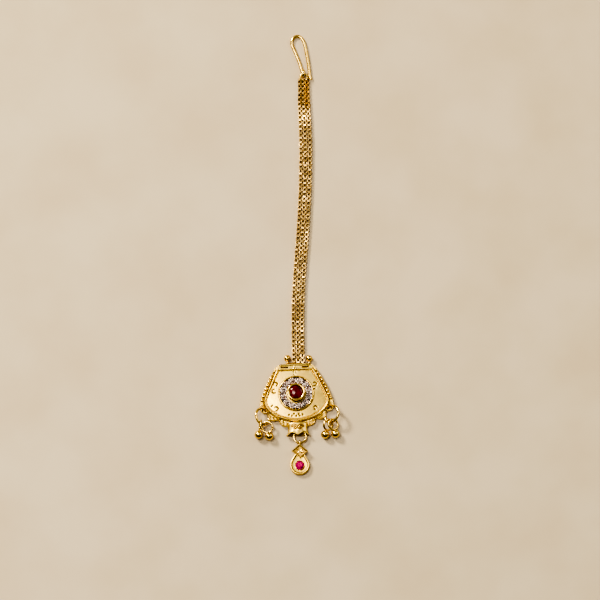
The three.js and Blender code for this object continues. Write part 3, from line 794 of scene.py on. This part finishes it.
def brilliant(centre, radius, girdle, crown, pavilion, turn=0.0, facets=8, table=0.56):
    """A round brilliant cut. Rings of corners, each turned half a facet from the last: culet,
    pavilion break, girdle, crown break and table, joined by flat triangles."""
    step = TURN / facets
    rings = [
        (0.0, girdle - pavilion, 0.0, 1),
        (0.5 * radius, girdle - 0.5 * pavilion, 0.5, facets),
        (radius, girdle - 0.02, 0.0, facets * 2),
        (radius, girdle + 0.03, 0.0, facets * 2),
        (0.8 * radius, girdle + 0.55 * crown, 0.5, facets),
        (table * radius, girdle + crown, 0.0, facets),
        (0.0, girdle + crown, 0.0, 1),
    ]
    points, faces, first = [], [], []
    for ring_radius, height, phase, count in rings:
        angle = (np.arange(count) * facets / count + phase) * step + turn
        first.append(sum(len(p) for p in points))
        flat = np.full(count, height)
        ring = [ring_radius * np.cos(angle), ring_radius * np.sin(angle), flat]
        points.append(np.stack(ring, axis=1))
    k = np.arange(facets)
    n = (k + 1) % facets
    a, b, c, d, e, f, g = first
    big, half, big_next = c + 2 * k, c + 2 * k + 1, c + 2 * n
    faces.append(np.stack([a + 0 * k, b + n, b + k], axis=1))
    faces.append(np.stack([b + k, half, big], axis=1))
    faces.append(np.stack([b + k, big_next, half], axis=1))
    faces.append(np.stack([b + k, b + n, big_next], axis=1))
    m = np.arange(2 * facets)
    mn = (m + 1) % (2 * facets)
    faces.append(np.stack([c + m, c + mn, d + mn], axis=1))
    faces.append(np.stack([c + m, d + mn, d + m], axis=1))
    big, half, big_next = d + 2 * k, d + 2 * k + 1, d + 2 * n
    faces.append(np.stack([big, half, e + k], axis=1))
    faces.append(np.stack([half, big_next, e + k], axis=1))
    faces.append(np.stack([e + k, big_next, e + n], axis=1))
    faces.append(np.stack([f + k, e + k, f + n], axis=1))
    faces.append(np.stack([g + 0 * k, f + k, f + n], axis=1))
    return [(np.concatenate(points) + centre, np.concatenate(faces))]


def centre_bezel():
    """A high plain cup: a straight wall whose lip is rubbed over the stone."""
    profile = [
        (0.0, 1.5),
        (2.4, 1.5),
        (2.42, 1.7),
        (2.3, 1.95),
        (2.3, 3.55),
        (2.31, 3.62),
        (2.42, 3.74),
        (2.5, 3.86),
        (2.5, 3.98),
        (2.42, 4.09),
        (2.25, 4.14),
        (2.05, 4.1),
        (1.9, 4.0),
        (1.83, 3.85),
        (1.82, 2.2),
        (0.0, 2.2),
    ]
    return turned(profile, HALO_AT, 96)


def centre_stone():
    """A dome on top; below the girdle a cone of flat facets that shows through it."""
    rise = np.linspace(0, math.pi / 2, 18)
    dome = np.stack([1.8 * np.cos(rise), 3.75 + 0.55 * np.sin(rise)], axis=1)
    profile = np.concatenate([[(0.0, 2.45), (1.0, 2.85), (1.8, 3.55)], dome])
    return turned(profile, HALO_AT, 64)


tray = halo_tray()
# painted shade on the tray's floor and the foot of its rim
brown = brown_below(tray, 2.0, 0.0)
make_piece("halo_tray", tray, POLISHED_GOLD, ["halo_setting"], painted_shade=brown)
make_piece("halo_collets", halo_collets(), RHODIUM)
for i, centre in enumerate(halo_centres):
    name = "halo_stone_%02d" % (i + 1)
    gem = brilliant(centre, 0.78, 2.14, 0.36, 0.24, turn=0.37 * i, table=0.5)
    make_piece("crystal_%02d" % (i + 1), gem, CRYSTAL, [name], smooth=False)
cup = centre_bezel()
# painted shade on the bezel's wall below its lip
brown = brown_below(cup, 3.6, 2.0)
make_piece("bezel_cup", cup, POLISHED_GOLD, ["centre_bezel"], painted_shade=brown)
make_piece("ruby_dome", centre_stone(), RUBY_GLASS, ["centre_stone"])

# ---- rings and ball drops -----------------------------------------------------------------------

make_piece(
    "jump_ring_left",
    jump_ring((-9.6, -6.86, 1.89), (-9.2, -4.66, 1.16), -35.9, 2.35, 0.37, 1.2),
    POLISHED_GOLD,
    ["side_ring_left"],
)
make_piece(
    "jump_ring_right",
    jump_ring((9.68, -6.05, 1.82), (9.07, -3.88, 1.16), 34.3, 2.35, 0.37, 5.0),
    POLISHED_GOLD,
    ["side_ring_right"],
)


BALL_RADIUS = 1.2
LOOP_RADIUS = 1.5


def ball_drop(x, y, loop, roll_degrees):
    """A ball, a short neck that flares into it, and the loop soldered to the neck."""
    middle = np.array([x, y, BALL_RADIUS])
    reach = np.asarray(loop) - middle
    length = np.linalg.norm(reach) - LOOP_RADIUS
    t = np.linspace(0.75, length + 0.05, 12)
    spine = middle + t[:, None] * unit(reach)
    path, normal = ring_path(loop, middle, math.radians(roll_degrees), LOOP_RADIUS)
    shells = orb(middle, BALL_RADIUS, 32, 48)
    across = (0, 0, 1) if abs(unit(reach)[2]) < 0.8 else (1, 0, 0)
    shells += wire(spine, 0.3, across, 20)
    return shells + wire(path, 0.29, normal, 18, closed=True)


for name, x, y, loop, roll in (
    ("ball_drop_left_outer", -10.72, -11.85, (-10.3, -9.54, 2.42), -83.9),
    ("ball_drop_left_inner", -7.78, -12.27, (-8.35, -9.74, 1.51), -10.1),
    ("ball_drop_right_inner", 7.86, -11.81, (8.68, -9.1, 1.44), 43.6),
    ("ball_drop_right_outer", 10.72, -11.6, (10.11, -9.0, 1.67), 29.8),
):
    make_piece(
        name.replace("ball_drop", "bead_drop"),
        ball_drop(x, y, loop, roll),
        POLISHED_GOLD,
        [name],
    )

# ---- the pear drop ------------------------------------------------------------------------------

DROP_X = 0.77
DROP_ROUND = np.array([DROP_X, -20.45, 0.0])
STONE_AT = np.array([DROP_X, -20.6, 0.0])
PEAR_RADIUS = 2.75
# from the middle of the pear's round end to its point
PEAR_REACH = 5.55


def pear_tray():
    """A pear-shaped dish on a net of rays: hollow field, half-round rim, upright wall, flat back.
    Its outline is a circle, and above it the two lines from the point that touch the circle."""
    tangent = math.asin(PEAR_RADIUS / PEAR_REACH)
    angles = np.linspace(0, TURN, 361)
    off_axis = np.abs(np.arctan2(np.cos(angles), np.sin(angles)))
    flank = PEAR_RADIUS / np.maximum(np.cos(math.pi / 2 - tangent - off_axis), 0.2)
    edge = np.where(off_axis < math.pi / 2 - tangent, flank, PEAR_RADIUS)
    # across the dish: the share of the way to the edge, and the rise there above the field
    section = np.array(
        [
            (0, 0),
            (0.3, 0),
            (0.55, 0.01),
            (0.7, 0.02),
            (0.78, 0.04),
            (0.8, 0.06),
            (0.815, 0.14),
            (0.83, 0.28),
            (0.85, 0.34),
            (0.88, 0.36),
            (0.92, 0.36),
            (0.95, 0.34),
            (0.975, 0.29),
            (0.99, 0.22),
            (1.0, 0.12),
        ]
    )
    s, rise = section[:, :1], section[:, 1:]
    height = 0.8 + rise + 0 * edge
    upper = np.stack([s * edge * np.cos(angles), s * edge * np.sin(angles), height], axis=-1)
    w = np.array([1.0, 1.0, 0.97, 0.6, 0.0])[:, None]
    fall = np.array([0.5, 0.08, 0.0, 0.0, 0.0])[:, None]
    lower = np.stack([w * edge * np.cos(angles), w * edge * np.sin(angles), fall + 0 * edge], axis=-1)
    # painted shade in the groove inside the rim
    brown = np.interp(s, [0.7, 0.79, 0.82, 0.86], [0.0, 0.8, 0.8, 0.0]) + 0 * edge
    brown = np.concatenate([brown, 0 * lower[..., 0]])
    points, faces = net(np.concatenate([upper, lower]))
    return [(points + DROP_ROUND, faces)], brown


def plaque():
    """A rhombus with a raised flat frame, and two scrolls and a stem laid in its field."""
    profile = np.array(
        [
            (0, 0.85),
            (0.97, 0.85),
            (1.0, 0.95),
            (1.0, 1.76),
            (0.96, 1.84),
            (0.84, 1.84),
            (0.79, 1.78),
            (0.78, 1.45),
            (0.7, 1.4),
            (0, 1.38),
        ]
    )
    points, faces = turned(profile, segments=4)[0]
    shells = [(points * [2.35, 2.02, 1] + [DROP_X, -16.55, 0], faces)]
    # painted shade: the step at the foot of the frame's inner wall is brown, the field faintly so
    step = np.abs(points[:, 2] - 1.42) < 0.035
    field = np.abs(points[:, 2] - 1.38) < 0.01
    brown = [0.75 * step + 0.25 * field]
    t = np.linspace(0, 1, 24)
    for side in (-1, 1):
        radius = 0.5 * (1 - 0.6 * t)
        curl = 4.2 * t + 1.2
        x = DROP_X + side * (0.66 + radius * np.cos(curl))
        y = -16.66 + radius * np.sin(curl)
        shells += wire(np.stack([x, y, 1.48 + 0 * t], axis=1), 0.13, (0, 0, 1), 8)
    stem = [[DROP_X, -17.7, 1.48], [DROP_X, -16.5, 1.48], [DROP_X, -15.4, 1.48]]
    shells += wire(stem, 0.12, (1, 0, 0), 8)
    brown += [np.zeros(len(points)) for points, _ in shells[1:]]
    return shells, np.concatenate(brown)


def bail():
    """An upright eye at the plaque's upper corner."""
    angle = np.linspace(0, TURN, 48)
    path = np.stack(
        [DROP_X + 0 * angle, -14.24 + 0.7 * np.cos(angle), 1.0 + 0.7 * np.sin(angle)], axis=1
    )
    return wire(path, 0.22, (1, 0, 0), 16, closed=True)


def stone_claws():
    """A low collet and six claw beads about the drop's stone."""
    shells = turned(
        [(1.2, 0.8), (1.46, 0.8), (1.42, 1.1), (1.34, 1.16), (1.27, 1.1), (1.2, 0.8)], STONE_AT, 64
    )
    for k in range(6):
        angle = (k + 0.5) * TURN / 6
        shells += orb(STONE_AT + [1.26 * math.cos(angle), 1.26 * math.sin(angle), 1.16], 0.17, 8, 12)
    return shells


make_piece(
    "drop_jump_ring",
    jump_ring((0.82, -12.38, 1.0), (0.82, -10.0, 1.0), 0.0, 1.72, 0.29, 1.9),
    POLISHED_GOLD,
    ["drop_ring"],
)
tray, brown = pear_tray()
make_piece("pear_tray", tray, SATIN_GOLD, ["drop"], painted_shade=brown)
badge, brown = plaque()
make_piece("drop_plaque", badge, POLISHED_GOLD, smooth=False, painted_shade=brown)
make_piece("drop_bail", bail(), POLISHED_GOLD)
make_piece("drop_claws", stone_claws(), POLISHED_GOLD)
make_piece(
    "pink_brilliant",
    brilliant(STONE_AT, 1.22, 1.02, 0.45, 0.5, turn=0.2),
    PINK_GLASS,
    ["drop_stone"],
    smooth=False,
)

# ---- chain --------------------------------------------------------------------------------------

# the middle strand's route from the plate's bar to the end ring: x, y, spacing, lift
ROUTE = np.array(
    [
        (0.33, 7.9, 1.23, 0.0),
        (0.26, 12.5, 1.23, 0.0),
        (0.2, 17.0, 1.23, 0.0),
        (0.18, 22.5, 1.24, 0.0),
        (0.3, 28.0, 1.24, 0.0),
        (0.62, 33.5, 1.24, 0.0),
        (1.0, 39.0, 1.24, 0.0),
        (1.38, 44.0, 1.24, 0.0),
        (1.72, 49.0, 1.24, 0.0),
        (2.0, 54.5, 1.24, 0.0),
        (2.2, 59.5, 1.25, 0.0),
        (2.32, 65.5, 1.25, 0.0),
        (2.35, 71.5, 1.25, 0.0),
        (2.2, 76.0, 1.23, 0.12),
        (2.05, 80.0, 1.19, 0.35),
        (1.95, 83.5, 1.1, 0.6),
        (1.88, 86.5, 1.0, 0.72),
        (1.85, 90.2, 0.98, 0.9),
    ]
)
LINK_PITCH = 0.642
LINK_LENGTH = 0.98
LINK_WIDTH = 1.08
STRIP = 0.17
STRIP_WIDTH = 0.68
LINK_CORNERS = 12
STRAND_HEIGHT = 0.57
# near the end ring the strands roll over by so much, in radians, between these two places
ROLL_OVER = 0.6
ROLL_FROM, ROLL_TO = 76, 86


def link_points():
    """One box link as a grid: a squared circle's outline, twelve corners round, carried round the
    strip's own rectangular section."""
    angle = (np.arange(LINK_CORNERS + 1) + 0.5) / LINK_CORNERS * TURN
    power = 0.7
    squared = np.stack(
        [
            np.sign(np.cos(angle)) * np.abs(np.cos(angle)) ** power,
            np.sign(np.sin(angle)) * np.abs(np.sin(angle)) ** power,
        ],
        axis=1,
    )
    half = np.array([LINK_WIDTH / 2, LINK_LENGTH / 2])
    inner, outer = squared * (half - STRIP), squared * half
    rows = []
    for outline, height in ((outer, 0.5), (outer, -0.5), (inner, -0.5), (inner, 0.5), (outer, 0.5)):
        rows.append(np.column_stack([outline, np.full(len(outline), height * STRIP_WIDTH)]))
    return np.stack(rows)


def box_chain(side, first_open, seed):
    """A strand: links at even steps along the route, each a quarter turn from the last, with a
    few degrees of play."""
    path = smooth_path(ROUTE, 900)
    lift = path[:, 3] if side == 0 else 0 * path[:, 3]
    line = np.stack([path[:, 0] + side * path[:, 2], path[:, 1], STRAND_HEIGHT + lift], axis=1)
    run = np.concatenate([[0], np.cumsum(np.linalg.norm(np.diff(line, axis=0), axis=1))])
    play = np.random.default_rng(seed)
    start = np.interp(first_open, line[:, 1], run)
    start -= LINK_PITCH * math.floor(start / LINK_PITCH)
    at = np.arange(start, run[-1], LINK_PITCH)
    spot = np.stack([np.interp(at, run, line[:, k]) for k in range(3)], axis=1)
    ahead = np.stack([np.interp(at + 0.2, run, line[:, k]) for k in range(3)], axis=1)
    behind = np.stack([np.interp(at - 0.2, run, line[:, k]) for k in range(3)], axis=1)
    along = unit(ahead - behind)
    count = len(at)
    open_first = int(round((np.interp(first_open, line[:, 1], run) - start) / LINK_PITCH)) % 2
    quarter = (np.arange(count) + open_first) % 2
    twist = ROLL_OVER * smooth_step(spot[:, 1], ROLL_FROM, ROLL_TO)
    roll = quarter * math.pi / 2 + play.normal(0, 0.05, count) + twist
    flat = unit(np.cross(along, [0, 0, 1]))
    up = np.cross(flat, along)
    across = flat * np.cos(roll)[:, None] + up * np.sin(roll)[:, None]
    normal = np.cross(across, along)
    shape = link_points()
    rows, columns = shape.shape[:2]
    points = (
        spot[:, None, None]
        + shape[None, ..., 0:1] * across[:, None, None]
        + shape[None, ..., 1:2] * along[:, None, None]
        + shape[None, ..., 2:3] * normal[:, None, None]
    )
    faces = net(shape)[1]
    all_faces = faces[None] + (np.arange(count) * rows * columns)[:, None, None]
    return [(points.reshape(-1, 3), all_faces.reshape(-1, 4))]


# a link's faces run in four bands: outer, edge, inner, edge; the third, its inside, takes the painted
# shade
for name, side, first_open in (
    ("chain_left", -1, 10.95),
    ("chain_middle", 0, 10.78),
    ("chain_right", 1, 10.78),
):
    links = box_chain(side, first_open, 11 + side)
    strand = make_piece(
        name.replace("chain", "box_chain"), links, CHAIN_GOLD, [name], smooth=False
    )
    strand.data.materials.append(LINK_INSIDE_SHADE)
    inside = np.arange(len(strand.data.polygons)) // LINK_CORNERS % 4 == 2
    strand.data.polygons.foreach_set("material_index", inside.astype(np.int32))

# ---- hook and end ring --------------------------------------------------------------------------

HOOK_WIRE = 0.42
HOOK_STEPS = 420
# the middle of the wire, from its free tip round the bow to the foot of the eye
HOOK_LEGS = [
    (3.85, 90.1),
    (3.5, 91.3),
    (3.36, 92.7),
    (3.12, 94.6),
    (2.78, 96.8),
    (2.36, 99.0),
    (1.9, 100.75),
    (1.15, 102.05),
    (0.2, 102.5),
    (-0.75, 102.2),
    (-1.42, 101.25),
    (-1.46, 100.1),
    (-1.0, 98.9),
    (-0.4, 97.5),
    (0.25, 95.9),
    (0.85, 94.2),
]


def hair_hook():
    """Bent wire: flat on the board up one leg, round the bow and down the other, then up into an
    upright eye about the end ring."""
    legs = [(x, y, 0.45) for x, y in HOOK_LEGS]
    turn = np.radians(np.arange(0, 291, 29))
    eye = np.stack(
        [
            1.75 - 0.25 * np.cos(turn / 2) * (turn < math.pi),
            91.5 + 0.25 * np.clip(1 - turn, 0, 1) - 0.88 * np.sin(turn),
            1.34 - 0.88 * np.cos(turn),
        ],
        axis=1,
    )
    path = smooth_path(np.concatenate([legs, eye]), HOOK_STEPS)
    upright = smooth_step(np.arange(HOOK_STEPS), 300, 345)[:, None]
    up = (1 - upright) * np.array([0, 0, 1.0]) + upright * np.array([1.0, 0, 0])
    return wire(path, HOOK_WIRE, up, 24)


make_piece("hook_wire", hair_hook(), POLISHED_GOLD, ["hair_hook"])
make_piece(
    "hook_ring",
    jump_ring((1.85, 90.5, 1.14), (1.85, 91.5, 1.31), 0.0, 1.0, 0.24, 1.4),
    POLISHED_GOLD,
    ["end_ring"],
)

# ---- board and light ----------------------------------------------------------------------------


def painted_board():
    """A pale satin-painted board: warm off-white, faintly mottled, with a fine roller texture."""
    made, tree, shader, where = new_material("satin_painted_board")
    mottle = add(tree, "ShaderNodeTexNoise", {"Vector": where, "Scale": 40.0, "Detail": 3.0})
    tone = ramp_between(tree, mottle.outputs["Fac"], "#c3b395", "#cabca1", 0.35, 0.65)
    tree.links.new(tone, shader.inputs["Base Color"])
    shader.inputs["Roughness"].default_value = 0.45
    roller_scale = 1 / (0.7 * MM)
    roller = add(tree, "ShaderNodeTexNoise", {"Vector": where, "Scale": roller_scale, "Detail": 2.0})
    bump = add(
        tree,
        "ShaderNodeBump",
        {"Height": roller.outputs["Fac"], "Strength": 0.3, "Distance": 0.05 * MM},
    )
    tree.links.new(bump.outputs["Normal"], shader.inputs["Normal"])
    return made


def lay_board():
    """A flat square, far wider than the view, at the height that the jewel rests on."""
    corner = np.array([[-1, -1, 0], [1, -1, 0], [1, 1, 0], [-1, 1, 0]]) * 1.5
    mesh = bpy.data.meshes.new("board")
    mesh.from_pydata(corner.tolist(), [], [(0, 1, 2, 3)])
    mesh.materials.append(painted_board())
    board = bpy.data.objects.new("board", mesh)
    bpy.context.scene.collection.objects.link(board)


def soft_box(name, at, size, watts, colour):
    """A round lamp that faces the jewel."""
    lamp = bpy.data.lights.new(name, "AREA")
    lamp.shape = "DISK"
    lamp.size = size
    lamp.energy = watts
    lamp.color = linear(colour)[:3]
    made = bpy.data.objects.new(name, lamp)
    bpy.context.scene.collection.objects.link(made)
    made.location = at
    away = unit(np.asarray(at, float))
    made.rotation_euler = (math.acos(away[2]), 0, math.atan2(away[1], away[0]) + math.pi / 2)
    return made


def light_room():
    """A pale room, dark towards the south horizon and below. Two soft lamps hang to the left, the
    stronger beyond the jewel's head, and a weak one to the right."""
    world = bpy.data.worlds.new("room")
    bpy.context.scene.world = world
    world.use_nodes = True
    tree = world.node_tree
    way = add(tree, "ShaderNodeTexCoord").outputs["Generated"]
    split = add(tree, "ShaderNodeSeparateXYZ", {"Vector": way})
    north_and_up = {0: split.outputs["Y"], 1: split.outputs["Z"]}
    both = add(tree, "ShaderNodeMath", north_and_up, operation="ADD")
    lift = add(tree, "ShaderNodeMath", {0: both.outputs[0], 1: 0.15}, operation="ADD")
    tone = ramp_between(tree, lift.outputs[0], "#0e0905", "#f4ece2", 0.02, 1.25)
    tree.links.new(tone, tree.nodes["Background"].inputs["Color"])
    tree.nodes["Background"].inputs["Strength"].default_value = 0.37
    soft_box("key", (-0.32, 0.06, 1.05), 0.42, 5.2, "#fff3e0")
    soft_box("side", (-0.75, 0.7, 0.75), 0.3, 16.0, "#fff3e0")
    soft_box("fill", (0.75, 0.3, 0.6), 0.5, 1.6, "#fff6ea")


lay_board()
light_room()
# a steep tone curve, which keeps the metal's dark reflections deep and its highlights creamy
bpy.context.scene.view_settings.look = "AgX - Very High Contrast"
